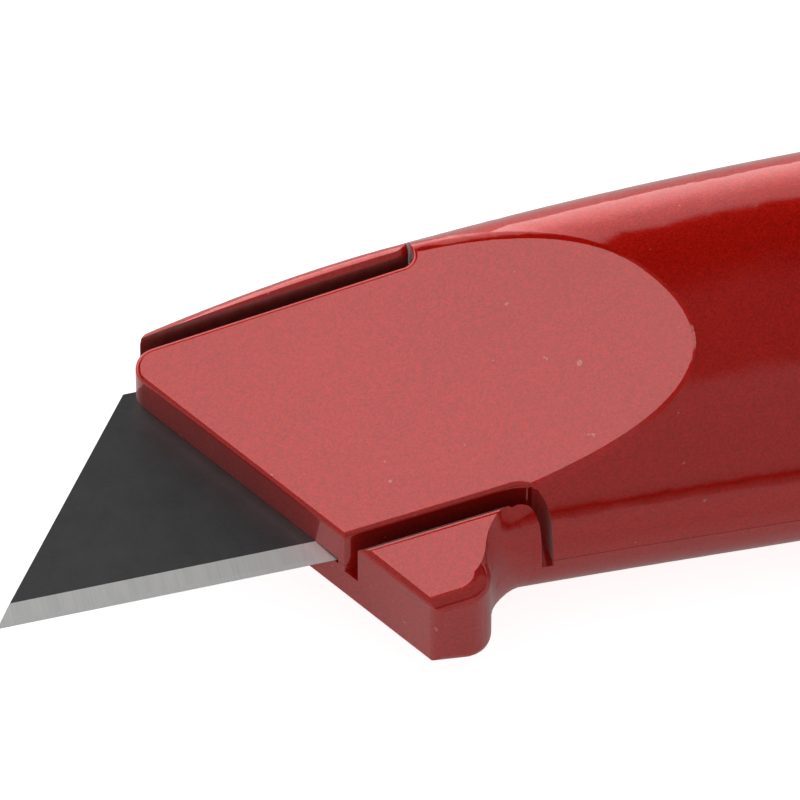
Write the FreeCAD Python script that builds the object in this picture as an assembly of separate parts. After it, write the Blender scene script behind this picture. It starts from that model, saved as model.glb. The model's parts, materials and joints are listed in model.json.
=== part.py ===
"""Heavy-duty fixed-blade craft knife, millimetres.

Two die-cast shells meet on the blade's plane. The lower shell carries the finger guard and a lip along
the top of the nose, and the cover shell drops in between the two. A slotted screw through the middle of
the handle clamps the shells on the blade. Spare blades lie in the hollow handle under a leaf spring.

The knife is modelled with the blade tip at x = 0, the cutting edge on y = 0 and the blade's mid-plane at
z = 0. Every solid is then moved to the row frame: the knife lies on its side, the origin is where the
screw's axis meets the flat that it rests on, +X runs to the tail, +Y to the spine and +Z to the cover.
"""

import FreeCAD
import Part
import math
import os

V = FreeCAD.Vector
UP = V(0, 0, 1)

# ---- blade ------------------------------------------------------------------------------------------
BLADE_LENGTH = 62.0
BLADE_SPINE = 33.0
BLADE_HEIGHT = 19.0
BLADE_THICKNESS = 0.6
BEVEL_HEIGHT = 1.9
FINAL_BEVEL_HEIGHT = 0.4
FINAL_BEVEL_THICKNESS = 0.2
EDGE_THICKNESS = 0.03
NOTCH_WIDTH = 3.4
NOTCH_DEPTH = 3.6
NOTCH_SPACING = 16.0
SPARE_BLADES = 5

# ---- handle -----------------------------------------------------------------------------------------
OVERALL_LENGTH = 156.0
SPINE_HEIGHT = 26.0           # the spine line above the cutting edge
BELLY_DEPTH = 4.0             # the belly line below the cutting edge, at the guard
BELLY_SLOPE = 0.055           # how much deeper it gets per mm behind the guard
WIDEST_HEIGHT = 14.5          # where the handle is thickest, above the cutting edge
HALF_THICKNESS = 10.3
SPINE_FULLNESS = 0.75         # how square the section is above its widest line: an ellipse is 0.55
BELLY_FULLNESS = 0.69         # and below it
NOSE_FALL = 4.4               # how far the spine line falls to the front of the nose
NOSE_FALL_START = 66.0
DROOP = 6.0                   # how far the handle's lines fall towards the tail
DROOP_START = 66.0
TAIL_SLIM = 1.6               # height that each side of the section loses towards the tail
TAIL_LENGTH = 24.0            # the tail's rounded end
TAIL_POWER = 2.3
SIDE_BARREL = 0.2             # how much thinner each side is, SIDE_BARREL_REACH from its thickest place
SIDE_BARREL_X = 100.0
SIDE_BARREL_REACH = 43.0
REST_FLAT_DEPTH = 0.4         # how deep the flat on each side of the handle is cut
REST_FLAT_START = 70.5        # on the cover; the lower shell's flat is as long as its crown allows
REST_FLAT_RAMP = 1.5
WALL = 2.4

# ---- nose -------------------------------------------------------------------------------------------
EDGE_EXPOSED = 27.0           # cutting edge that stands out of the nose
FRONT_ANGLE = 57.1            # between the nose's front face and the cutting edge
NOSE_HALF_THICKNESS = 4.0
FACET_RISE = 0.194            # the nose's flat facet thickens by this much per mm back from the front
NOSE_TOP = 21.8               # the spine line's height at the front of the nose, above the cutting edge
NOSE_CORNER = 4.2
COVER_TOP = 20.0              # top edge of the cover's nose, above the cutting edge
COVER_TOP_RISE = 0.024
COVER_BOTTOM = 0.7            # bottom edge of the cover's nose, below the cutting edge
COVER_CORNER = 1.7
STEP_X = 38.4                 # where the cover's nose ends in a step up to the spine
STEP_CORNER = 1.0
STEP_END_CORNER = 1.7         # the step's outer corner, on the spine line
STEP_GAP = 0.12               # between the step and the lip's end
LIP_CORNER = 1.1              # the corners of the lip's end
LIP_DROP = 0.15               # the lip's face lies this much lower than the cover's facet
LIP_ROUND = 1.0
LIP_ROUND_START = 16.2        # the lip's inner edge is rounded from this far behind the blade's tip
SHOULDER_ROUND = 1.6          # between the nose's facet and the spine
SPINE_LIFT = 0.1              # how far the outlines stay above the spine line
INTERLOCK_GAP = 0.9           # between the cover's nose and the lip beside it
GROOVE_DEPTH = 0.7            # how deep the gap is carried into the lower shell
NOSE_ROUND = 0.45
FAR_SIDE_ROUND = 0.5

# ---- finger guard -----------------------------------------------------------------------------------
GUARD_DEPTH = 8.8             # how far the guard's foot lies below the cutting edge
GUARD_FOOT = 5.0              # the foot's length along its bottom, before its corners are rounded
GUARD_TOE = 1.2
GUARD_HEEL = 2.4
GUARD_COVE = 4.4              # radius that leads from the guard's heel into the belly
GUARD_EDGE_ROUND = 0.6
GUARD_DROP = 1.2              # gap between the cover's nose and the guard
GUARD_BACK_ROUND = 1.2
GUARD_BACK_SINK = 0.3         # how far the guard's back starts inside the handle's skin
NOTCH_END = 43.3              # where the cover's notch for the guard ends
NOTCH_CORNER = 2.6

# ---- seats and clearances ---------------------------------------------------------------------------
SEAT_CLEARANCE = 0.15
CLAMP_CLEARANCE = 0.03
RIM_GAP = 0.05
CORE_START = 43.0             # the hollow under the blade
CORE_SETBACK = 2.0            # it ends this far short of the blade's rear corner
CORE_LOW = 3.0
CORE_HIGH = 14.5
CORE_CORNER = 3.0
CAVITY_SETBACK = 2.5          # the hollow behind the blade starts this far behind it

# ---- thumb ribs -------------------------------------------------------------------------------------
RIB_PITCH = 6.0
RIB_FIRST = 52.0
RIB_COUNT = 7
RIB_RADIUS = 2.4
RIB_DEPTH = 0.85

# ---- body screw -------------------------------------------------------------------------------------
SCREW_SETBACK = 13.5          # the screw's axis stands this far behind the blade
SCREW_Y = 11.0
SCREW_RADIUS = 2.5
SCREW_HEAD_RADIUS = 4.8
SCREW_HEAD_HEIGHT = 2.6
SCREW_HEAD_CROWN = 0.4
SCREW_SLOT_WIDTH = 1.4
SCREW_SLOT_DEPTH = 1.5
SCREW_REACH = 6.1             # how far the screw's tip lies below the blade's plane
SCREW_TIP_CHAMFER = 0.6
WASHER_THICKNESS = 0.9
WASHER_SPLIT = 0.6
HEAD_SINK = 0.5
SHANK_CLEARANCE = 0.25
HEAD_CLEARANCE = 0.4
THREAD_CLEARANCE = 0.05
INSERT_RADIUS = 4.0
INSERT_LENGTH = 6.6
INSERT_SINK = 0.3
BOSS_WALL = 2.2

# ---- pins, dowels and tail --------------------------------------------------------------------------
PIN_RADIUS = 1.5
PIN_DEPTH = 3.0
PIN_CHAMFER = 0.2
PIN_SHORT = 0.05              # how far a blade pin's end stays under the blade's face
DOWEL_RADIUS = 1.5
DOWEL_REACH = 3.6
DOWEL_CLEARANCE = 0.1
DOWEL_BOSS_WALL = 1.8
DOWEL_END_GAP = 0.4
FRONT_DOWEL_SETBACK = 5.5     # behind the blade
FRONT_DOWEL_Y = 20.0
TAIL_DOWEL_INSET = 15.5       # in front of the tail's end
TAIL_DOWEL_Y = 14.0
LANYARD_RADIUS = 2.5
LANYARD_INSET = 8.0
LANYARD_Y = 8.5
LANYARD_BOSS_WALL = 2.0

# ---- spare blade store ------------------------------------------------------------------------------
STORE_GAP = 1.069             # between the screw's boss and the stack's front edge
STORE_Y = 2.2
STORE_ANGLE = -3.5
STORE_FLOOR = 4.7             # the spare blades rest on ribs this far below the blade's plane
STORE_RIB_WIDTH = 1.6
STORE_RIB_SETBACK = 10.5      # the first rib, behind the stack's front corner
STORE_RIB_PITCH = 14.0
STORE_RIB_COUNT = 4
FENCE_GAP = 0.4               # between the stack and the low wall round it
FENCE_WALL = 1.2
FENCE_TOP = 2.4               # the low wall's top, below the blade's plane
BLADE_GAP = 0.02
SPRING_THICKNESS = 0.4
SPRING_WIDTH = 8.0
SPRING_SETBACK = 18.5         # the spring's rivet, behind the stack's front corner
SPRING_Y = 10.5
SPRING_TAB = 7.0
SPRING_REACH = 18.0
SPRING_KICK = 5.0
SPRING_RISE = 2.0
SPRING_CLEARANCE = 0.06
RIVET_RADIUS = 1.2
RIVET_HEAD_RADIUS = 2.2
RIVET_HEAD_HEIGHT = 0.7
RIVET_DEPTH = 2.0
RIVET_BOSS_DROP = 1.4         # the spring's seat hangs this far below the cover's wall

# ---- worked out from the sizes above -----------------------------------------------------------------
FRONT_SLOPE = 1.0 / math.tan(math.radians(FRONT_ANGLE))     # x lost per mm of rise along the front face
BLADE_SETBACK = (BLADE_LENGTH - BLADE_SPINE) / 2.0
BLADE_HALF = BLADE_THICKNESS / 2.0
GUARD_TOP = -COVER_BOTTOM - GUARD_DROP
SIDE_HEIGHT = HALF_THICKNESS - REST_FLAT_DEPTH              # the flat's distance from the blade's plane
HEAD_TOP = SIDE_HEIGHT - HEAD_SINK
HEAD_SEAT = HEAD_TOP - SCREW_HEAD_HEIGHT
WASHER_SEAT = HEAD_SEAT - WASHER_THICKNESS
HEAD_BORE = SCREW_HEAD_RADIUS + HEAD_CLEARANCE
NOTCH_ROUND = NOTCH_WIDTH / 2.0
PIN_Y = BLADE_HEIGHT - NOTCH_DEPTH + NOTCH_ROUND
STACK_TOP = -STORE_FLOOR + SPARE_BLADES * (BLADE_THICKNESS + BLADE_GAP)
SPRING_SEAT = HALF_THICKNESS - SIDE_BARREL - WALL - RIVET_BOSS_DROP
CORE_END = BLADE_LENGTH - CORE_SETBACK
CAVITY_START = BLADE_LENGTH + CAVITY_SETBACK
SCREW_X = BLADE_LENGTH + SCREW_SETBACK
FRONT_DOWEL = (BLADE_LENGTH + FRONT_DOWEL_SETBACK, FRONT_DOWEL_Y)
TAIL_DOWEL = (OVERALL_LENGTH - TAIL_DOWEL_INSET, TAIL_DOWEL_Y)
LANYARD_PLACE = (OVERALL_LENGTH - LANYARD_INSET, LANYARD_Y)
STORE_SLANT = math.atan2(BLADE_HEIGHT, BLADE_SETBACK) + math.radians(STORE_ANGLE)
STORE_REACH = INSERT_RADIUS + BOSS_WALL + STORE_GAP - (SCREW_Y - STORE_Y) * math.cos(STORE_SLANT)
STORE_X = SCREW_X + STORE_REACH / math.sin(STORE_SLANT)     # the stack's lower front corner
SPRING_X = STORE_X + SPRING_SETBACK
NEAR = 40.0                                                 # reaches past the handle's height
FAR = 260.0                                                 # and past the whole knife
OVERLAP = 1.0                                               # how far a cut runs past what it opens


def front_x(y):
    """Where the nose's front face is at height y."""
    return EDGE_EXPOSED - y * FRONT_SLOPE


# ---- small helpers ----------------------------------------------------------------------------------
def outline(corners, z=0.0):
    """A closed wire through corners (x, y, radius) at height z, each corner rounded by its own radius."""
    edges = []
    first = None
    last = None
    for i, (x, y, radius) in enumerate(corners):
        here = V(x, y, z)
        before = V(corners[i - 1][0], corners[i - 1][1], z) - here
        following = corners[(i + 1) % len(corners)]
        after = V(following[0], following[1], z) - here
        start = end = here
        if radius > 0:
            half = before.getAngle(after) / 2.0
            before.normalize()
            after.normalize()
            bisector = (before + after).normalize()
            start = here + before * (radius / math.tan(half))
            end = here + after * (radius / math.tan(half))
            middle = here + bisector * (radius / math.sin(half) - radius)
        if last is not None:
            edges.append(Part.LineSegment(last, start).toShape())
        if radius > 0:
            edges.append(Part.Arc(start, middle, end).toShape())
        first = first or start
        last = end
    edges.append(Part.LineSegment(last, first).toShape())
    return Part.Wire(edges)


def prism(corners, low, high):
    """A solid with the outline of corners (x, y, radius) from height low to height high."""
    return Part.Face(outline(corners, low)).extrude(V(0, 0, high - low))


def cylinder(x, y, radius, low, high):
    return Part.makeCylinder(radius, high - low, V(x, y, low), UP)


def block(x0, x1, y0, y1, z0, z1):
    return Part.makeBox(x1 - x0, y1 - y0, z1 - z0, V(x0, y0, z0))


def mirrored(shape):
    """The same shape on the other side of the blade's plane."""
    return shape.mirror(V(0, 0, 0), UP)


def joined(shapes):
    return shapes[0].multiFuse(shapes[1:]).removeSplitter()


def rounded(shape, radius, surface, chosen):
    """Shape with a fillet on every edge that lies on surface and whose middle point is chosen."""
    edges = []
    for edge in shape.Edges:
        middle = edge.valueAt((edge.FirstParameter + edge.LastParameter) / 2.0)
        on_surface = surface.distToShape(Part.Vertex(middle))[0] < 1e-5
        if on_surface and abs(edge.tangentAt(edge.FirstParameter).z) < 0.9 and chosen(middle):
            edges.append(edge)
    return shape.makeFillet(radius, edges)


# ---- the handle's skin ------------------------------------------------------------------------------
def belly_depth(x):
    return BELLY_DEPTH + BELLY_SLOPE * max(0.0, x - NOTCH_END)


def section(x, inset):
    """Widest height, heights above and below it, and half-thickness of the handle's section at x."""
    back = max(0.0, x - DROOP_START) / (OVERALL_LENGTH - DROOP_START)
    front = max(0.0, NOSE_FALL_START - x) / (NOSE_FALL_START - front_x(NOSE_TOP))
    tail = max(0.0, x - OVERALL_LENGTH + TAIL_LENGTH) / (TAIL_LENGTH - inset)
    closing = (1.0 - min(tail, 1.0) ** TAIL_POWER) ** (1.0 / TAIL_POWER)
    widest = WIDEST_HEIGHT - DROOP * back ** 2
    slim = TAIL_SLIM * back + inset
    above = (SPINE_HEIGHT - WIDEST_HEIGHT - NOSE_FALL * front ** 2 - slim) * closing
    below = (belly_depth(x) + WIDEST_HEIGHT - slim) * closing
    barrel = SIDE_BARREL * ((x - SIDE_BARREL_X) / SIDE_BARREL_REACH) ** 2
    half_thickness = (HALF_THICKNESS - barrel - inset) * closing ** 0.7
    return widest, above, below, half_thickness


def quarter(x, widest, reach, half_thickness, fullness):
    """A quarter of a section, as a curve from the blade's plane up to the widest line."""
    curve = Part.BezierCurve()
    curve.setPoles([
        V(x, widest + reach, 0),
        V(x, widest + reach, half_thickness * fullness),
        V(x, widest + reach * fullness, half_thickness),
        V(x, widest, half_thickness),
    ])
    return curve.toShape()


def section_wire(x, widest, above, below, half_thickness):
    """Upper half of a section, carried a little below the blade's plane so that it can be cut flat there."""
    belly = V(x, widest - below, 0)
    spine = V(x, widest + above, 0)
    return Part.Wire([
        Part.LineSegment(belly - UP, belly).toShape(),
        quarter(x, widest, -below, half_thickness, BELLY_FULLNESS),
        quarter(x, widest, above, half_thickness, SPINE_FULLNESS),
        Part.LineSegment(spine, spine - UP).toShape(),
        Part.LineSegment(spine - UP, belly - UP).toShape(),
    ])


def half_loft(wires):
    """The solid through sections, cut flat on the blade's plane."""
    return Part.makeLoft(wires, True, False).cut(block(-FAR, FAR, -FAR, FAR, -FAR, 0.0))


def half_skin(inset=0.0):
    """The handle's upper half as one solid, with every wall moved in by inset."""
    tail_start = OVERALL_LENGTH - TAIL_LENGTH
    body = [tail_start * share for share in (0.06, 0.18, 0.3, 0.42, 0.54, 0.7, 0.86, 1.0)]
    reach = TAIL_LENGTH - inset
    tail = [tail_start + reach * share for share in (0.25, 0.48, 0.68, 0.83, 0.93, 0.985)]
    return half_loft([section_wire(x, *section(x, inset)) for x in body + tail])


def facet_plane(drop=0.0):
    """The nose's flat facet as a large face, or a plane that lies drop below it."""
    angle = math.radians(FRONT_ANGLE)
    along = V(math.cos(angle), -math.sin(angle), 0)          # down the front face, towards the guard
    back = V(math.sin(angle), math.cos(angle), FACET_RISE)   # straight back from it, rising
    corner = V(EDGE_EXPOSED, 0, NOSE_HALF_THICKNESS - drop)
    a = corner - along * FAR - back * FAR
    b = corner + along * FAR - back * FAR
    c = corner + along * FAR + back * FAR
    d = corner - along * FAR + back * FAR
    return Part.Face(Part.makePolygon([a, b, c, d, a]))


def above_facet(drop=0.0):
    return facet_plane(drop).extrude(UP * FAR)


def side_flat(start):
    """What is cut off one side of the handle, from x = start on, to leave the flat that it rests on."""
    points = [
        V(start, -FAR, SIDE_HEIGHT + REST_FLAT_DEPTH),
        V(start + REST_FLAT_RAMP, -FAR, SIDE_HEIGHT),
        V(FAR, -FAR, SIDE_HEIGHT),
        V(FAR, -FAR, FAR),
        V(start, -FAR, FAR),
    ]
    return Part.Face(Part.makePolygon(points + points[:1])).extrude(V(0, 2 * FAR, 0))


def scallops(first):
    """Hollows between the thumb ribs along the spine, the first at x = first."""
    cuts = []
    for i in range(RIB_COUNT):
        x = first + RIB_PITCH * i
        cuts.append(cylinder(x, spine_y(x) - RIB_DEPTH + RIB_RADIUS, RIB_RADIUS, -FAR, FAR))
    return Part.makeCompound(cuts)


def core():
    """Hollow of one half: a core under the blade, and the store behind it."""
    under_blade = prism([
        (CORE_START, CORE_LOW, CORE_CORNER),
        (CORE_END, CORE_LOW, CORE_CORNER),
        (CORE_END - BLADE_SETBACK / 2.0, CORE_HIGH, CORE_CORNER),
        (CORE_START, CORE_HIGH, CORE_CORNER),
    ], -OVERLAP, NOSE_HALF_THICKNESS + OVERLAP)
    store = block(CAVITY_START, FAR, -FAR, FAR, -OVERLAP, FAR)
    return half_skin(WALL).common(joined([under_blade, store]))


# ---- blades -----------------------------------------------------------------------------------------
def blade():
    """One utility blade: bevelled along its long edge, with two notches in its spine."""
    half_edge = EDGE_THICKNESS / 2.0
    half_final = FINAL_BEVEL_THICKNESS / 2.0
    profile = [
        V(0, 0, -half_edge),
        V(0, FINAL_BEVEL_HEIGHT, -half_final),
        V(0, BEVEL_HEIGHT, -BLADE_HALF),
        V(0, BLADE_HEIGHT, -BLADE_HALF),
        V(0, BLADE_HEIGHT, BLADE_HALF),
        V(0, BEVEL_HEIGHT, BLADE_HALF),
        V(0, FINAL_BEVEL_HEIGHT, half_final),
        V(0, 0, half_edge),
    ]
    strip = Part.Face(Part.makePolygon(profile + profile[:1])).extrude(V(BLADE_LENGTH, 0, 0))
    trapezoid = prism([
        (0, 0, 0),
        (BLADE_LENGTH, 0, 0),
        (BLADE_LENGTH - BLADE_SETBACK, BLADE_HEIGHT, 0),
        (BLADE_SETBACK, BLADE_HEIGHT, 0),
    ], -BLADE_THICKNESS, BLADE_THICKNESS)
    notches = []
    for x in pin_places():
        notches.append(cylinder(x, PIN_Y, NOTCH_ROUND, -BLADE_THICKNESS, BLADE_THICKNESS))
        notches.append(block(x - NOTCH_ROUND, x + NOTCH_ROUND, PIN_Y, BLADE_HEIGHT + OVERLAP,
                             -BLADE_THICKNESS, BLADE_THICKNESS))
    return strip.common(trapezoid).cut(Part.makeCompound(notches)).Solids[0]


def pin_places():
    middle = BLADE_LENGTH / 2.0
    return (middle - NOTCH_SPACING / 2.0, middle + NOTCH_SPACING / 2.0)


def blade_seat(low, high):
    """The pocket round the blade's outline, with clearance at its edges."""
    gap = SEAT_CLEARANCE
    slant = BLADE_SETBACK / BLADE_HEIGHT
    shift = gap * math.hypot(1.0, slant)
    return prism([
        (-BLADE_LENGTH, -gap, 0),
        (BLADE_LENGTH + shift + gap * slant, -gap, 0),
        (BLADE_LENGTH - BLADE_SETBACK + shift - gap * slant, BLADE_HEIGHT + gap, 0),
        (-BLADE_LENGTH, BLADE_HEIGHT + gap, 0),
    ], low, high)


def spare_blade(number):
    """Spare blade of the stack, counted from the bottom."""
    spare = blade()
    spare.rotate(V(0, 0, 0), UP, STORE_ANGLE)
    height = -STORE_FLOOR + BLADE_HALF + (number - 1) * (BLADE_THICKNESS + BLADE_GAP)
    spare.translate(V(STORE_X, STORE_Y, height))
    return spare


# ---- nose and guard ---------------------------------------------------------------------------------
def cover_corners():
    """Outline of the cover: its nose is narrowed between the lip and the guard."""
    top_end = COVER_TOP + COVER_TOP_RISE * (STEP_X - front_x(COVER_TOP))
    return [
        (front_x(-COVER_BOTTOM), -COVER_BOTTOM, 0),
        (NOTCH_END, -COVER_BOTTOM, NOTCH_CORNER),
        (NOTCH_END, -NEAR, 0),
        (FAR, -NEAR, 0),
        (FAR, spine_tangent(STEP_X, FAR), 0),
        (STEP_X, spine_tangent(STEP_X, STEP_X), STEP_END_CORNER),
        (STEP_X, top_end, STEP_CORNER),
        (front_x(COVER_TOP), COVER_TOP, COVER_CORNER),
    ]


def nose_corner():
    """The top front corner of the nose, which clears the spine line as it rises behind it."""
    return (front_x(NOSE_TOP), NOSE_TOP, NOSE_CORNER)


def nose_top(x):
    """A straight line from the nose's top corner that stays above the rising spine line."""
    corner_x = front_x(NOSE_TOP)
    slope = 2.0 * NOSE_FALL / (NOSE_FALL_START - corner_x)
    return NOSE_TOP + slope * (x - corner_x)


def spine_y(x):
    widest, above, _, _ = section(x, 0.0)
    return widest + above


def spine_tangent(start, x):
    """The height at x of a straight line just above the spine line, along it at x = start."""
    reach = NOSE_FALL_START - front_x(NOSE_TOP)
    slope = 2.0 * NOSE_FALL * (NOSE_FALL_START - start) / reach ** 2
    return spine_y(start) + SPINE_LIFT + slope * (x - start)


def lip_corners():
    """Outline of the lower shell's lip, above the cover's nose."""
    low = COVER_TOP + INTERLOCK_GAP
    end_x = STEP_X - STEP_GAP
    low_end = low + COVER_TOP_RISE * (end_x - front_x(low))
    return [
        (front_x(low), low, 0),
        (end_x, low_end, LIP_CORNER),
        (end_x, nose_top(end_x), 0),
        (front_x(NOSE_TOP), NOSE_TOP, 0),
    ]


def lip_end_corners():
    """Outline that rounds the lip's end on the spine line."""
    end_x = STEP_X - STEP_GAP
    return [
        (-FAR, 0, 0),
        (end_x, 0, 0),
        (end_x, spine_tangent(end_x, end_x), LIP_CORNER),
        (-FAR, spine_tangent(end_x, -FAR), 0),
    ]


def guard_corners():
    """Outline of what the lower shell has in the cover's notch."""
    end_x = NOTCH_END - INTERLOCK_GAP
    low = -GUARD_DEPTH - NOTCH_CORNER
    return [
        (front_x(low), low, 0),
        (end_x, low, 0),
        (end_x, GUARD_TOP, NOTCH_CORNER - INTERLOCK_GAP),
        (front_x(GUARD_TOP), GUARD_TOP, 0),
    ]


def far_side_corners():
    """Outline of the lower shell's own half."""
    return [
        (front_x(-NEAR), -NEAR, 0),
        (FAR, -NEAR, 0),
        (FAR, nose_top(FAR), 0),
        nose_corner(),
    ]


def trim(corners, low, drop, radius, front=0.0):
    """The space inside an outline and under the nose's facet, its edges rounded back from x = front."""
    space = prism(corners, low, FAR).cut(above_facet(drop))
    return rounded(space, radius, facet_plane(drop), lambda p: front < p.x < CAVITY_START and p.y < spine_y(p.x))


def shouldered(half, drop):
    """A half cut down to the plane drop below the nose's facet, with a round shoulder towards the spine."""
    shaped = half.cut(above_facet(drop))
    return rounded(shaped, SHOULDER_ROUND, facet_plane(drop), lambda p: p.y > WIDEST_HEIGHT)


def guard_foot():
    """Upper half of the guard's foot, which runs past the nose's front face until that is cut."""
    heel_x = front_x(-GUARD_DEPTH) + GUARD_FOOT
    top = NEAR / 4.0
    foot = prism([
        (front_x(top), top, 0),
        (front_x(top), -GUARD_DEPTH, 0),
        (heel_x, -GUARD_DEPTH, GUARD_HEEL),
        (heel_x, top, 0),
    ], 0.0, FAR).cut(above_facet())
    return rounded(foot, GUARD_BACK_ROUND, facet_plane(), lambda p: p.x > heel_x - 0.01)


def guard_toe():
    """What rounding the guard's toe takes away."""
    x = front_x(-GUARD_DEPTH)
    corner = [(front_x(0), 0, 0), (x, -GUARD_DEPTH, 0), (x + GUARD_FOOT / 2.0, -GUARD_DEPTH, 0)]
    kept = [(front_x(0), 0, 0), (x, -GUARD_DEPTH, GUARD_TOE), (x + GUARD_FOOT / 2.0, -GUARD_DEPTH, 0)]
    return prism(corner, -NEAR, NEAR).cut(prism(kept, -NEAR, NEAR))


def belly_drop():
    """Points (x, extra depth) down the guard's back, from the belly through a cove to the heel."""
    depth = GUARD_DEPTH - BELLY_DEPTH
    turn = math.acos(1.0 - depth / (GUARD_COVE + GUARD_HEEL))
    start = front_x(-GUARD_DEPTH) + GUARD_FOOT - GUARD_HEEL
    end = start + (GUARD_COVE + GUARD_HEEL) * math.sin(turn)
    points = []
    for i in range(5):
        angle = turn * i / 5.0
        points.append((end - GUARD_COVE * math.sin(angle), GUARD_COVE * (1.0 - math.cos(angle))))
    for i in range(5, -1, -1):
        angle = turn * i / 5.0
        points.append((start + GUARD_HEEL * math.sin(angle), depth - GUARD_HEEL * (1.0 - math.cos(angle))))
    return points


def guard_back():
    """Upper half of the guard's back, which flows from the belly down to the foot inside the skin."""
    wires = []
    for x, extra in belly_drop():
        widest, _, below, half_thickness = section(x, 0.0)
        wires.append(section_wire(x, widest, GUARD_BACK_SINK, below + extra, half_thickness - GUARD_BACK_SINK))
    return half_loft(wires)


def groove():
    """The gaps beside the cover's nose, carried into the lower shell."""
    ahead = EDGE_EXPOSED
    cover = cover_corners()
    guard = guard_corners()
    lip = lip_corners()
    by_guard = prism([
        (cover[0][0] - ahead, cover[0][1], 0),
        cover[1],
        (NOTCH_END, guard[1][1], 0),
        guard[1],
        guard[2],
        (guard[3][0] - ahead, guard[3][1], 0),
    ], -GROOVE_DEPTH, RIM_GAP)
    by_lip = prism([
        (cover[-1][0] - ahead, cover[-1][1], 0),
        cover[-2],
        (STEP_X, NEAR, 0),
        (lip[1][0], NEAR, 0),
        lip[1],
        (lip[0][0] - ahead, lip[0][1], 0),
    ], -GROOVE_DEPTH, RIM_GAP)
    return [by_guard, by_lip]


# ---- shells -----------------------------------------------------------------------------------------
def stack_outline(gap):
    """Outline of the spare blades' stack, grown by gap."""
    slant = BLADE_SETBACK / BLADE_HEIGHT
    end = gap * (math.hypot(1.0, slant) + slant)
    top = gap * (math.hypot(1.0, slant) - slant)
    corners = [
        (-end, -gap, 0),
        (BLADE_LENGTH + end, -gap, 0),
        (BLADE_LENGTH - BLADE_SETBACK + top, BLADE_HEIGHT + gap, 0),
        (BLADE_SETBACK - top, BLADE_HEIGHT + gap, 0),
    ]
    return corners


def in_store(shape):
    """A shape that is drawn on a blade's own axes, moved to the store."""
    shape.rotate(V(0, 0, 0), UP, STORE_ANGLE)
    shape.translate(V(STORE_X, STORE_Y, 0))
    return shape


def store_supports():
    """Ribs that the spare blades rest on and the low wall round them, to be trimmed by the shell's skin."""
    outer = FENCE_GAP + FENCE_WALL
    fence = prism(stack_outline(outer), -HALF_THICKNESS, -FENCE_TOP)
    fence = fence.cut(prism(stack_outline(FENCE_GAP), -HALF_THICKNESS, 0.0))
    supports = [in_store(fence)]
    for i in range(STORE_RIB_COUNT):
        x = STORE_X + STORE_RIB_SETBACK + STORE_RIB_PITCH * i
        supports.append(block(x, x + STORE_RIB_WIDTH, -NEAR, NEAR, -HALF_THICKNESS, -STORE_FLOOR))
    return supports


def post(place, radius, low):
    return cylinder(place[0], place[1], radius, low, HALF_THICKNESS)


def cover_shell(nose, skin):
    """The near shell: screw boss with its head's seat, dowel sockets, lanyard hole and spring seat."""
    screw = (SCREW_X, SCREW_Y)
    posts = [
        post(screw, INSERT_RADIUS + BOSS_WALL, RIM_GAP),
        post(screw, HEAD_BORE + BOSS_WALL, WASHER_SEAT - BOSS_WALL),
        post(FRONT_DOWEL, DOWEL_RADIUS + DOWEL_BOSS_WALL, RIM_GAP),
        post(TAIL_DOWEL, DOWEL_RADIUS + DOWEL_BOSS_WALL, RIM_GAP),
        post(LANYARD_PLACE, LANYARD_RADIUS + LANYARD_BOSS_WALL, RIM_GAP),
        post((SPRING_X, SPRING_Y), SPRING_WIDTH / 2.0, SPRING_SEAT),
    ]
    socket = DOWEL_RADIUS + DOWEL_CLEARANCE
    bores = [
        post(screw, HEAD_BORE, WASHER_SEAT),
        post(screw, SCREW_RADIUS + SHANK_CLEARANCE, 0.0),
        post(LANYARD_PLACE, LANYARD_RADIUS, 0.0),
        cylinder(FRONT_DOWEL[0], FRONT_DOWEL[1], socket, 0.0, DOWEL_REACH + DOWEL_END_GAP),
        cylinder(TAIL_DOWEL[0], TAIL_DOWEL[1], socket, 0.0, DOWEL_REACH + DOWEL_END_GAP),
        cylinder(SPRING_X, SPRING_Y, RIVET_RADIUS, 0.0, SPRING_SEAT + RIVET_DEPTH),
        blade_seat(-OVERLAP, BLADE_HALF + CLAMP_CLEARANCE),
        scallops(RIB_FIRST),
        side_flat(REST_FLAT_START),
    ]
    shell = nose.common(trim(cover_corners(), RIM_GAP, 0.0, NOSE_ROUND)).cut(core())
    inside = Part.makeCompound(posts).common(skin)
    return joined([shell, inside]).cut(bores).Solids[0]


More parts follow.
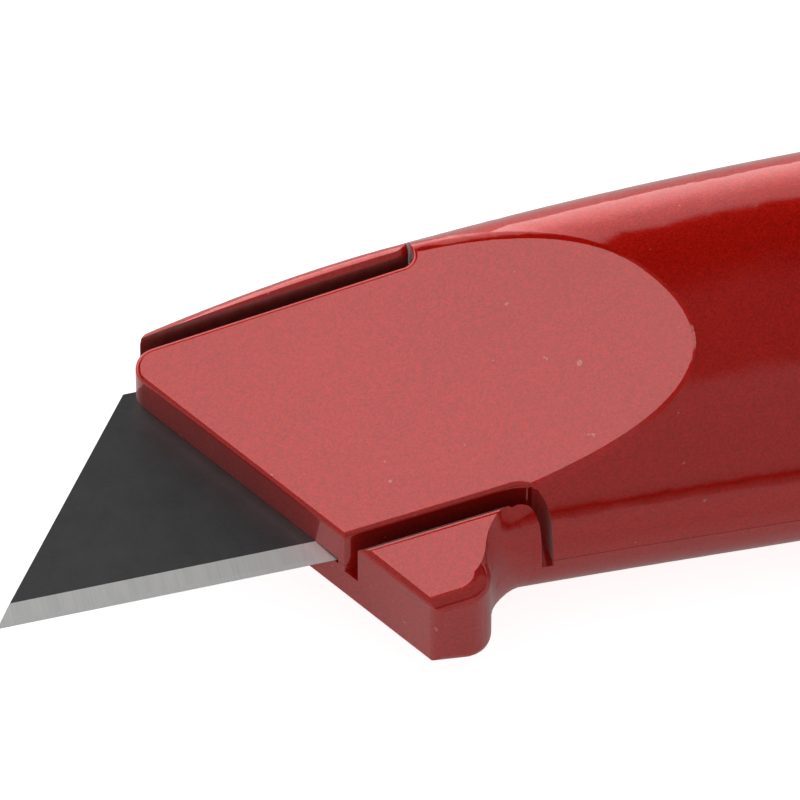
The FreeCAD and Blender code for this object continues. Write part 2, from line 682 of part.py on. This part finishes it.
def lower_shell(nose, lip, skin):
    """The far shell, with its lip and guard: it holds the pins, the insert, the dowels and the spares."""
    screw = (SCREW_X, SCREW_Y)
    posts = [
        post(screw, INSERT_RADIUS + BOSS_WALL, 0.0),
        post(FRONT_DOWEL, DOWEL_RADIUS + DOWEL_BOSS_WALL, 0.0),
        post(TAIL_DOWEL, DOWEL_RADIUS + DOWEL_BOSS_WALL, 0.0),
        post(LANYARD_PLACE, LANYARD_RADIUS + LANYARD_BOSS_WALL, 0.0),
    ]
    far_skin = mirrored(skin)
    far_half = mirrored(nose.common(trim(far_side_corners(), 0.0, 0.0, FAR_SIDE_ROUND)).cut(core()))
    inside = mirrored(Part.makeCompound(posts)).common(far_skin)
    supports = Part.makeCompound(store_supports()).common(far_skin)
    lip = lip.common(trim(lip_corners(), 0.0, LIP_DROP, LIP_ROUND, LIP_ROUND_START))
    for corners in (far_side_corners(), lip_end_corners()):
        lip = lip.common(prism(corners, 0.0, HALF_THICKNESS))
    guard = nose.common(trim(guard_corners(), 0.0, 0.0, GUARD_EDGE_ROUND))
    shell = joined([far_half, inside, supports, lip, guard])
    cuts = [
        blade_seat(-BLADE_HALF, BLADE_HALF),
        cylinder(SCREW_X, SCREW_Y, INSERT_RADIUS, -INSERT_SINK - INSERT_LENGTH, OVERLAP),
        cylinder(LANYARD_PLACE[0], LANYARD_PLACE[1], LANYARD_RADIUS, -HALF_THICKNESS, OVERLAP),
        cylinder(FRONT_DOWEL[0], FRONT_DOWEL[1], DOWEL_RADIUS, -DOWEL_REACH, OVERLAP),
        cylinder(TAIL_DOWEL[0], TAIL_DOWEL[1], DOWEL_RADIUS, -DOWEL_REACH, OVERLAP),
        guard_toe(),
        mirrored(scallops(RIB_FIRST - RIB_PITCH / 2.0)),
        mirrored(side_flat(0.0)),
    ]
    for x in pin_places():
        cuts.append(cylinder(x, PIN_Y, PIN_RADIUS, -BLADE_HALF - PIN_DEPTH, OVERLAP))
    return shell.cut(cuts + groove()).Solids[0]


# ---- fasteners, pins and spring ---------------------------------------------------------------------
def body_screw():
    """Slotted screw, its head sunk in the cover."""
    head = cylinder(SCREW_X, SCREW_Y, SCREW_HEAD_RADIUS, HEAD_SEAT, HEAD_TOP)
    rims = [edge for edge in head.Edges if abs(edge.CenterOfMass.z - HEAD_TOP) < 1e-6]
    head = head.makeFillet(SCREW_HEAD_CROWN, rims)
    shank = cylinder(SCREW_X, SCREW_Y, SCREW_RADIUS, -SCREW_REACH, HEAD_SEAT + OVERLAP)
    tips = [edge for edge in shank.Edges if abs(edge.CenterOfMass.z + SCREW_REACH) < 1e-6]
    shank = shank.makeChamfer(SCREW_TIP_CHAMFER, tips)
    half_slot = SCREW_SLOT_WIDTH / 2.0
    slot = block(SCREW_X - SCREW_HEAD_RADIUS, SCREW_X + SCREW_HEAD_RADIUS, SCREW_Y - half_slot,
                 SCREW_Y + half_slot, HEAD_TOP - SCREW_SLOT_DEPTH, HEAD_TOP + OVERLAP)
    return joined([head, shank]).cut(slot)


def lock_washer():
    """Split spring washer under the screw's head."""
    outer = SCREW_HEAD_RADIUS - HEAD_CLEARANCE
    ring = cylinder(SCREW_X, SCREW_Y, outer, WASHER_SEAT, HEAD_SEAT)
    ring = ring.cut(cylinder(SCREW_X, SCREW_Y, SCREW_RADIUS + SHANK_CLEARANCE, WASHER_SEAT, HEAD_SEAT))
    half_split = WASHER_SPLIT / 2.0
    split = block(SCREW_X, SCREW_X + outer + OVERLAP, SCREW_Y - half_split, SCREW_Y + half_split,
                  WASHER_SEAT, HEAD_SEAT)
    split.rotate(V(SCREW_X, SCREW_Y, 0), UP, 40.0)
    return ring.cut(split)


def threaded_insert():
    """Brass sleeve that the screw engages."""
    top = -INSERT_SINK
    sleeve = cylinder(SCREW_X, SCREW_Y, INSERT_RADIUS, top - INSERT_LENGTH, top)
    return sleeve.cut(cylinder(SCREW_X, SCREW_Y, SCREW_RADIUS + THREAD_CLEARANCE, top - INSERT_LENGTH, top))


def steel_pin(x, y, radius, low, high):
    """A plain pin with its free upper end chamfered."""
    pin = cylinder(x, y, radius, low, high)
    rims = [edge for edge in pin.Edges if abs(edge.CenterOfMass.z - high) < 1e-6]
    return pin.makeChamfer(PIN_CHAMFER, rims)


def storage_spring():
    """Leaf spring: a tab under its seat, then a slope down to the stack and a short kick up."""
    low = STACK_TOP + SPRING_CLEARANCE
    seat = SPRING_SEAT - SPRING_THICKNESS
    half_tab = SPRING_TAB / 2.0
    run = [
        (SPRING_X - half_tab, seat),
        (SPRING_X + half_tab, seat),
        (SPRING_X + half_tab + SPRING_REACH, low),
        (SPRING_X + half_tab + SPRING_REACH + SPRING_KICK, low + SPRING_RISE),
    ]
    front = SPRING_Y - SPRING_WIDTH / 2.0
    under = [V(x, front, z) for x, z in run]
    over = [V(x, front, z + SPRING_THICKNESS) for x, z in reversed(run)]
    leaf = Part.Face(Part.makePolygon(under + over + under[:1])).extrude(V(0, SPRING_WIDTH, 0))
    return leaf.cut(cylinder(SPRING_X, SPRING_Y, RIVET_RADIUS, seat - OVERLAP, SPRING_SEAT + OVERLAP))


def spring_rivet():
    seat = SPRING_SEAT - SPRING_THICKNESS
    head = cylinder(SPRING_X, SPRING_Y, RIVET_HEAD_RADIUS, seat - RIVET_HEAD_HEIGHT, seat)
    rims = [edge for edge in head.Edges if abs(edge.CenterOfMass.z - seat + RIVET_HEAD_HEIGHT) < 1e-6]
    head = head.makeFillet(RIVET_HEAD_HEIGHT / 2.0, rims)
    return joined([head, cylinder(SPRING_X, SPRING_Y, RIVET_RADIUS, seat, SPRING_SEAT + RIVET_DEPTH)])


def build():
    """Every piece by its node's name, on the knife's own axes."""
    skin = half_skin()
    half = joined([skin, guard_foot(), guard_back()])
    nose = shouldered(half, 0.0)
    lip = shouldered(half, LIP_DROP)
    front_pin_x, rear_pin_x = pin_places()
    pin_low = -BLADE_HALF - PIN_DEPTH
    pin_high = BLADE_HALF - PIN_SHORT
    pieces = {
        "lower_shell": lower_shell(nose, lip, skin),
        "cover_shell": cover_shell(nose, skin),
        "working_blade": blade(),
        "front_blade_pin": steel_pin(front_pin_x, PIN_Y, PIN_RADIUS, pin_low, pin_high),
        "rear_blade_pin": steel_pin(rear_pin_x, PIN_Y, PIN_RADIUS, pin_low, pin_high),
        "front_dowel": steel_pin(*FRONT_DOWEL, DOWEL_RADIUS, -DOWEL_REACH, DOWEL_REACH),
        "tail_dowel": steel_pin(*TAIL_DOWEL, DOWEL_RADIUS, -DOWEL_REACH, DOWEL_REACH),
        "threaded_insert": threaded_insert(),
        "body_screw": body_screw(),
        "lock_washer": lock_washer(),
        "storage_spring": storage_spring(),
        "spring_rivet": spring_rivet(),
    }
    for number in range(1, SPARE_BLADES + 1):
        pieces["spare_blade_%d" % number] = spare_blade(number)
    return pieces


os.makedirs("parts", exist_ok=True)
for node, piece in build().items():
    piece.translate(V(-SCREW_X, -SCREW_Y, SIDE_HEIGHT))
    piece.exportStep("parts/%s.step" % node)
    box = piece.BoundBox
    print("%-16s valid %s solids %d volume %.0f x %.1f..%.1f y %.1f..%.1f z %.2f..%.2f" % (
        node, piece.isValid(), len(piece.Solids), piece.Volume,
        box.XMin, box.XMax, box.YMin, box.YMax, box.ZMin, box.ZMax))
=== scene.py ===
"""Looks of the heavy-duty craft knife: studio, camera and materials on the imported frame, in metres."""

import bpy
import json
import math
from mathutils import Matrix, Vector

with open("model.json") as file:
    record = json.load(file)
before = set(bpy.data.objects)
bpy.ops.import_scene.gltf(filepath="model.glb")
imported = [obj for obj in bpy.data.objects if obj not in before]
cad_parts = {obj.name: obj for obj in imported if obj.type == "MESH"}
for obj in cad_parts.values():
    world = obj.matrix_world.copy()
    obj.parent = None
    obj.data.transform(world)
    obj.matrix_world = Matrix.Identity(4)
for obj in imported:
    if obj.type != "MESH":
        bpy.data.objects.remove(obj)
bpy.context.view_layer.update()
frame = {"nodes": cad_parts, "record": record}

NODES = frame["nodes"]
MM = 0.001
BLADE_PLANE = 9.9 * MM                # the blade's plane above the flat that the knife rests on
MIDDLE_Y = 3.5 * MM                   # the line where the handle is thickest
FLAKE_BUMP = 0.00001                  # how deep the paint's metal flake stands
PEEL_BUMP = 0.000012                  # and the ripple of its clear coat
METAL_BUMP = 0.000006                 # the marks on bare metal
TABLE_TOP_Z = -0.00002                # just under the flat that the knife rests on
TABLE_RADIUS = 4.0
TABLE_SIDES = 96
WORLD_LEVEL = 4.2                     # brightness of the studio's bands


# ---- node helpers -----------------------------------------------------------------------------------
class Nodes:
    """A material's node tree, with short calls for what the materials below are made of."""

    def __init__(self, name):
        self.material = bpy.data.materials.new(name)
        self.material.use_nodes = True
        self.tree = self.material.node_tree
        self.shader = self.tree.nodes["Principled BSDF"]
        self.place = self.tree.nodes.new("ShaderNodeTexCoord").outputs["Object"]

    def put(self, node, name, value):
        socket = node.inputs[name]
        if isinstance(value, bpy.types.NodeSocket):
            self.tree.links.new(value, socket)
        else:
            socket.default_value = value

    def set(self, **values):
        for name, value in values.items():
            self.put(self.shader, name.replace("_", " "), value)

    def scaled(self, factors):
        node = self.tree.nodes.new("ShaderNodeMapping")
        node.inputs["Scale"].default_value = factors
        self.put(node, "Vector", self.place)
        return node.outputs["Vector"]

    def noise(self, scale, detail=2.0, roughness=0.5, vector=None):
        node = self.tree.nodes.new("ShaderNodeTexNoise")
        self.put(node, "Vector", vector or self.place)
        node.inputs["Scale"].default_value = scale
        node.inputs["Detail"].default_value = detail
        node.inputs["Roughness"].default_value = roughness
        return node.outputs["Fac"]

    def cells(self, scale):
        node = self.tree.nodes.new("ShaderNodeTexVoronoi")
        self.put(node, "Vector", self.place)
        node.inputs["Scale"].default_value = scale
        return node.outputs["Color"]

    def math(self, operation, a, b=0.0, clamp=False):
        node = self.tree.nodes.new("ShaderNodeMath")
        node.operation = operation
        node.use_clamp = clamp
        self.put(node, 0, a)
        self.put(node, 1, b)
        return node.outputs[0]

    def vector(self, operation, a, b):
        node = self.tree.nodes.new("ShaderNodeVectorMath")
        node.operation = operation
        self.put(node, 0, a)
        self.put(node, 1, b)
        return node.outputs["Value" if operation == "DOT_PRODUCT" else "Vector"]

    def ramp(self, value, low, high, start=0.0, end=1.0):
        node = self.tree.nodes.new("ShaderNodeMapRange")
        self.put(node, "Value", value)
        node.inputs["From Min"].default_value = low
        node.inputs["From Max"].default_value = high
        node.inputs["To Min"].default_value = start
        node.inputs["To Max"].default_value = end
        return node.outputs["Result"]

    def mix(self, factor, a, b):
        node = self.tree.nodes.new("ShaderNodeMix")
        node.data_type = "RGBA"
        self.put(node, 0, factor)
        self.put(node, 6, a)
        self.put(node, 7, b)
        return node.outputs[2]

    def separate(self, vector):
        node = self.tree.nodes.new("ShaderNodeSeparateXYZ")
        self.put(node, 0, vector)
        return node.outputs

    def normal(self):
        """The surface's own normal on the object's axes."""
        node = self.tree.nodes.new("ShaderNodeTexCoord")
        return node.outputs["Normal"]

    def bump(self, height, distance, strength=1.0):
        node = self.tree.nodes.new("ShaderNodeBump")
        node.inputs["Distance"].default_value = distance
        node.inputs["Strength"].default_value = strength
        self.put(node, "Height", height)
        return node.outputs["Normal"]


def rgb(r, g, b):
    return (r, g, b, 1.0)


def paint(name):
    """Metallic red stove enamel under a clear coat, on a die casting: bare and dull inside the shell."""
    n = Nodes(name)
    # inside the handle the skin's normal points towards the handle's middle line
    out = n.vector("SUBTRACT", n.place, (0.0, MIDDLE_Y, BLADE_PLANE))
    out = n.vector("MULTIPLY", out, (0.0, 1.0, 1.0))
    outward = n.vector("DOT_PRODUCT", out, n.normal())
    inside = n.ramp(outward, -0.0012, -0.0020)
    flake = n.separate(n.cells(7000.0))
    cloud = n.noise(60.0, 3.0)
    fine = n.noise(5000.0, 2.0, 0.7)
    tone = n.math("ADD", n.math("MULTIPLY", flake[0], 0.30), n.math("MULTIPLY", cloud, 0.20))
    tone = n.math("ADD", tone, n.math("MULTIPLY", fine, 0.50))
    red = n.mix(tone, rgb(0.30, 0.0006, 0.0002), rgb(0.98, 0.012, 0.0015))
    # sparse handling marks and dust caught in the clear coat
    speck = n.ramp(n.noise(900.0, 2.0, 0.6), 0.735, 0.76)
    red = n.mix(n.math("MULTIPLY", speck, 0.55), red, rgb(0.75, 0.30, 0.24))
    casting = n.mix(n.noise(1500.0, 3.0), rgb(0.20, 0.03, 0.025), rgb(0.34, 0.09, 0.075))
    n.set(Base_Color=n.mix(inside, red, casting))
    n.set(Metallic=n.ramp(inside, 0.0, 1.0, 0.50, 0.30))
    n.set(Specular_IOR_Level=0.0)
    n.set(Sheen_Weight=0.5, Sheen_Roughness=0.3, Sheen_Tint=rgb(1.0, 0.97, 0.95))
    gloss = n.ramp(flake[1], 0.0, 1.0, 0.30, 0.42)
    n.set(Roughness=n.math("MAXIMUM", gloss, n.math("MULTIPLY", inside, 0.62)))
    n.set(Coat_Weight=1.0, Coat_Roughness=0.035, Coat_IOR=1.7)
    rough_casting = n.math("MULTIPLY", inside, n.noise(2500.0, 3.0))
    grain = n.bump(n.math("ADD", flake[2], rough_casting), FLAKE_BUMP, 0.6)
    peel = n.noise(420.0, 2.0, 0.55)
    swell = n.noise(110.0, 1.0)
    coat = n.bump(n.math("ADD", peel, n.math("MULTIPLY", swell, 2.5)), PEEL_BUMP)
    n.set(Normal=grain, Coat_Normal=coat)
    return n.material


def blade_steel(name):
    """Carbon steel as rolled on its flats, with a bright ground bevel along the cutting edge."""
    n = Nodes(name)
    # how squarely the surface faces along the blade's thickness tells the flats, bevels and edges apart
    facing = n.math("ABSOLUTE", n.separate(n.normal())[2])
    side = n.ramp(facing, 0.80, 0.60)
    bevel = n.math("SUBTRACT", n.ramp(facing, 0.9975, 0.9955), side, True)
    micro = n.ramp(facing, 0.9860, 0.9840)
    speck = n.noise(9000.0, 2.0, 0.7)
    mottle = n.noise(350.0, 4.0, 0.6)
    flat = n.mix(speck, rgb(0.075, 0.076, 0.079), rgb(0.145, 0.146, 0.150))
    flat = n.mix(n.ramp(mottle, 0.35, 0.75, 0.0, 0.35), flat, rgb(0.17, 0.17, 0.175))
    lines = n.noise(1.0, 2.0, 0.6, n.scaled((9000.0, 260.0, 1.0)))
    wide = n.noise(1.0, 2.0, 0.5, n.scaled((1300.0, 60.0, 1.0)))
    ground = n.mix(n.math("MULTIPLY", n.math("ADD", lines, wide), 0.5),
                   rgb(0.66, 0.655, 0.65), rgb(0.98, 0.97, 0.96))
    honed = n.mix(lines, rgb(0.74, 0.74, 0.74), rgb(0.95, 0.95, 0.94))
    ground = n.mix(micro, ground, honed)
    sheared = n.mix(n.noise(1.0, 2.0, 0.6, n.scaled((7000.0, 7000.0, 400.0))),
                    rgb(0.16, 0.16, 0.165), rgb(0.42, 0.42, 0.43))
    colour = n.mix(bevel, flat, ground)
    n.set(Base_Color=n.mix(side, colour, sheared))
    n.set(Metallic=1.0)
    rough = n.mix(bevel, n.ramp(speck, 0.0, 1.0, 0.33, 0.47), n.ramp(lines, 0.0, 1.0, 0.40, 0.52))
    n.set(Roughness=rough)
    rolled = n.math("MULTIPLY", speck, n.math("SUBTRACT", 1.0, bevel))
    n.set(Normal=n.bump(n.math("ADD", rolled, n.math("MULTIPLY", lines, bevel)), METAL_BUMP, 0.7))
    return n.material


def metal(name, dark, light, roughness, stretch, patina=None):
    """A worked metal: fine marks stretched along one axis, and a mottled tarnish."""
    n = Nodes(name)
    marks = n.noise(1.0, 3.0, 0.6, n.scaled(stretch))
    stain = n.noise(420.0, 4.0, 0.6)
    colour = n.mix(marks, rgb(*dark), rgb(*light))
    if patina is not None:
        colour = n.mix(n.ramp(stain, 0.45, 0.70, 0.0, 0.75), colour, rgb(*patina))
    n.set(Base_Color=colour, Metallic=1.0)
    n.set(Roughness=n.math("ADD", n.ramp(marks, 0.0, 1.0, roughness, roughness + 0.16),
                           n.ramp(stain, 0.3, 0.8, 0.0, 0.12)))
    n.set(Normal=n.bump(marks, METAL_BUMP, 0.8))
    return n.material


MATERIALS = {
    "red_paint": paint("red_enamel"),
    "blade_steel": blade_steel("blade_carbon_steel"),
    "pin_steel": metal("ground_pin_steel", (0.42, 0.42, 0.43), (0.72, 0.72, 0.73), 0.20,
                       (300.0, 300.0, 9000.0)),
    "insert_brass": metal("turned_brass", (0.55, 0.36, 0.13), (0.85, 0.62, 0.28), 0.24,
                          (900.0, 900.0, 9000.0), (0.34, 0.20, 0.08)),
    "screw_steel": metal("plated_screw_steel", (0.45, 0.45, 0.46), (0.75, 0.75, 0.76), 0.22,
                         (2500.0, 2500.0, 9000.0), (0.38, 0.35, 0.31)),
    "washer_steel": metal("blackened_washer_steel", (0.12, 0.12, 0.13), (0.26, 0.26, 0.28), 0.34,
                          (5000.0, 5000.0, 5000.0), (0.16, 0.12, 0.09)),
    "spring_steel": metal("blued_spring_steel", (0.20, 0.21, 0.25), (0.42, 0.43, 0.48), 0.28,
                          (300.0, 8000.0, 8000.0), (0.15, 0.15, 0.22)),
    "rivet_aluminium": metal("rivet_aluminium", (0.55, 0.55, 0.56), (0.82, 0.82, 0.83), 0.30,
                             (3000.0, 3000.0, 3000.0)),
}

for part in frame["record"]["subparts"]:
    for slot in NODES[part["node"]].material_slots:
        slot.material = MATERIALS[part["material_slot"]]


# ---- studio -----------------------------------------------------------------------------------------
def studio_world():
    """Studio round the knife: a bright backdrop behind it, dim walls in front and a dark gap overhead."""
    world = bpy.data.worlds.new("studio")
    world.use_nodes = True
    tree = world.node_tree
    coord = tree.nodes.new("ShaderNodeTexCoord")
    parts = tree.nodes.new("ShaderNodeSeparateXYZ")
    tree.links.new(coord.outputs["Generated"], parts.inputs[0])
    angle = tree.nodes.new("ShaderNodeMath")
    angle.operation = "ARCTAN2"
    tree.links.new(parts.outputs["Y"], angle.inputs[0])
    tree.links.new(parts.outputs["Z"], angle.inputs[1])
    share = tree.nodes.new("ShaderNodeMapRange")
    share.inputs["From Min"].default_value = -math.pi
    share.inputs["From Max"].default_value = math.pi
    tree.links.new(angle.outputs[0], share.inputs["Value"])
    ramp = tree.nodes.new("ShaderNodeValToRGB")
    tree.links.new(share.outputs["Result"], ramp.inputs["Fac"])
    # brightness against the angle about the knife's length, from +Z towards +Y
    bands = [(-180, 0.3), (-92, 0.08), (-79, 0.006), (-73, 0.07), (-64, 0.085), (2, 0.085), (9, 0.032),
             (28, 0.028), (33, 0.002), (47.5, 0.002), (50, 0.18), (60, 0.24), (72, 0.42), (90, 0.55),
             (180, 0.2)]
    stops = ramp.color_ramp.elements
    while len(stops) < len(bands):
        stops.new(0.5)
    for stop, (degrees, level) in zip(stops, bands):
        stop.position = (degrees + 180.0) / 360.0
        stop.color = (level, level, level, 1.0)
    background = tree.nodes["Background"]
    tree.links.new(ramp.outputs["Color"], background.inputs["Color"])
    background.inputs["Strength"].default_value = WORLD_LEVEL
    return world


def soft_box(name, place, target, width, height, power):
    light = bpy.data.lights.new(name, "AREA")
    light.shape = "RECTANGLE"
    light.size = width
    light.size_y = height
    light.energy = power
    holder = bpy.data.objects.new(name, light)
    holder.location = place
    holder.rotation_euler = (Vector(target) - Vector(place)).to_track_quat("-Z", "Y").to_euler()
    holder.visible_camera = False
    bpy.context.collection.objects.link(holder)


def floor():
    """A plain pale table top, a little below the knife's flat."""
    turns = [math.tau * i / TABLE_SIDES for i in range(TABLE_SIDES)]
    ring = [(TABLE_RADIUS * math.cos(turn), TABLE_RADIUS * math.sin(turn), TABLE_TOP_Z) for turn in turns]
    mesh = bpy.data.meshes.new("table_top")
    mesh.from_pydata(ring, [], [tuple(range(TABLE_SIDES))])
    top = bpy.data.objects.new("table_top", mesh)
    bpy.context.collection.objects.link(top)
    n = Nodes("pale_table")
    cloud = n.noise(6.0, 3.0)
    n.set(Base_Color=n.mix(cloud, rgb(0.80, 0.80, 0.80), rgb(0.84, 0.84, 0.84)), Roughness=0.7)
    # lit from below as well, which shows on the table top itself and not in what lies on it
    seen = n.tree.nodes.new("ShaderNodeLightPath").outputs["Is Camera Ray"]
    n.set(Emission_Color=rgb(1.0, 1.0, 1.0), Emission_Strength=n.ramp(seen, 0.0, 1.0, 0.10, 0.85))
    mesh.materials.append(n.material)


def camera(azimuth, elevation, distance, target, lens):
    """A long lens at that azimuth (0 looks along +Y) and elevation in degrees, aimed at target."""
    a = math.radians(azimuth)
    e = math.radians(elevation)
    back = Vector((math.sin(a) * math.cos(e), -math.cos(a) * math.cos(e), math.sin(e)))
    data = bpy.data.cameras.new("camera")
    data.lens = lens
    data.sensor_width = 36.0
    data.clip_start = 0.05
    holder = bpy.data.objects.new("camera", data)
    holder.location = Vector(target) + back * distance
    holder.rotation_euler = (-back).to_track_quat("-Z", "Y").to_euler()
    bpy.context.collection.objects.link(holder)
    bpy.context.scene.camera = holder


bpy.context.scene.world = studio_world()
bpy.context.scene.view_settings.view_transform = "Standard"
soft_box("key", (-0.31, 0.28, 0.80), (-0.02, 0.0, 0.01), 0.50, 0.46, 1.05)
floor()
camera(-13.9, 55.0, 1.2, (-0.0401, 0.0025, 0.0099), 692.0)
